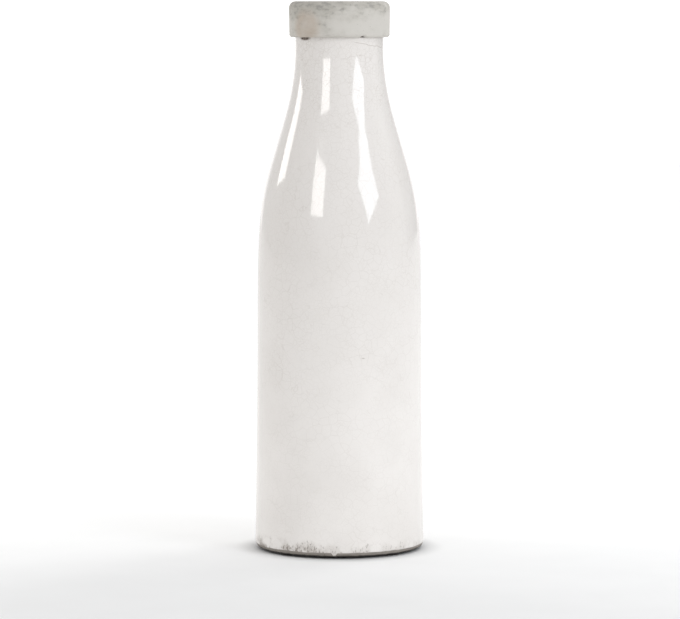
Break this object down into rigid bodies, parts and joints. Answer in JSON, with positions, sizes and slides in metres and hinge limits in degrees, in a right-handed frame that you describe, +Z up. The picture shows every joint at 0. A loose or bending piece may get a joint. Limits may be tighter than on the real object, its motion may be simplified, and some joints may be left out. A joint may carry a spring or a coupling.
{
  "type": "capped stoneware bottle",
  "caption": "Tall milk-bottle-shaped stoneware vessel in a cream crackle glaze, with a bare stoneware cap that turns and lifts off its neck.",
  "frame": {"origin": "on the bottle's axis, on the surface that its foot pads stand on", "axes": "+Z up along the bottle's axis, towards the cap; the bottle is round, so +X and +Y only place the pads, which sit between them"},
  "size_m": [0.1574, 0.1574, 0.508],
  "materials": {
    "crackle_glaze": "glossy cream glaze with a fine crackle",
    "bare_stoneware": "matt, washed grey-white, stained at the edge",
    "felt": "matt dark felt",
    "cork": "pressed cork sheet",
    "beech": "turned and lightly oiled",
    "silicone": "satin, translucent white",
    "steel": "satin stainless",
    "brass": "machined"
  },
  "bodies": {
    "bottle": {"bottle": "crackle_glaze", "foot_pad_1": "felt", "foot_pad_2": "felt", "foot_pad_3": "felt", "foot_pad_4": "felt"},
    "seal_rings": {"seal_ring_lower": "silicone", "seal_ring_upper": "silicone"},
    "cap": {"cap": "bare_stoneware", "cap_gasket": "cork", "cap_plug": "beech", "plug_washer": "steel", "plug_screw": "steel", "cap_insert": "brass"}
  },
  "joints": [
    {"name": "cap_lift", "type": "slide", "parent": "bottle", "child": "seal_rings", "axis": [0, 0, 1], "range_m": [0, 0.12]},
    {"name": "cap_turn", "type": "hinge", "parent": "seal_rings", "child": "cap", "pos_m": [0, 0, 0.485], "axis": [0, 0, 1], "continuous": true}
  ]
}
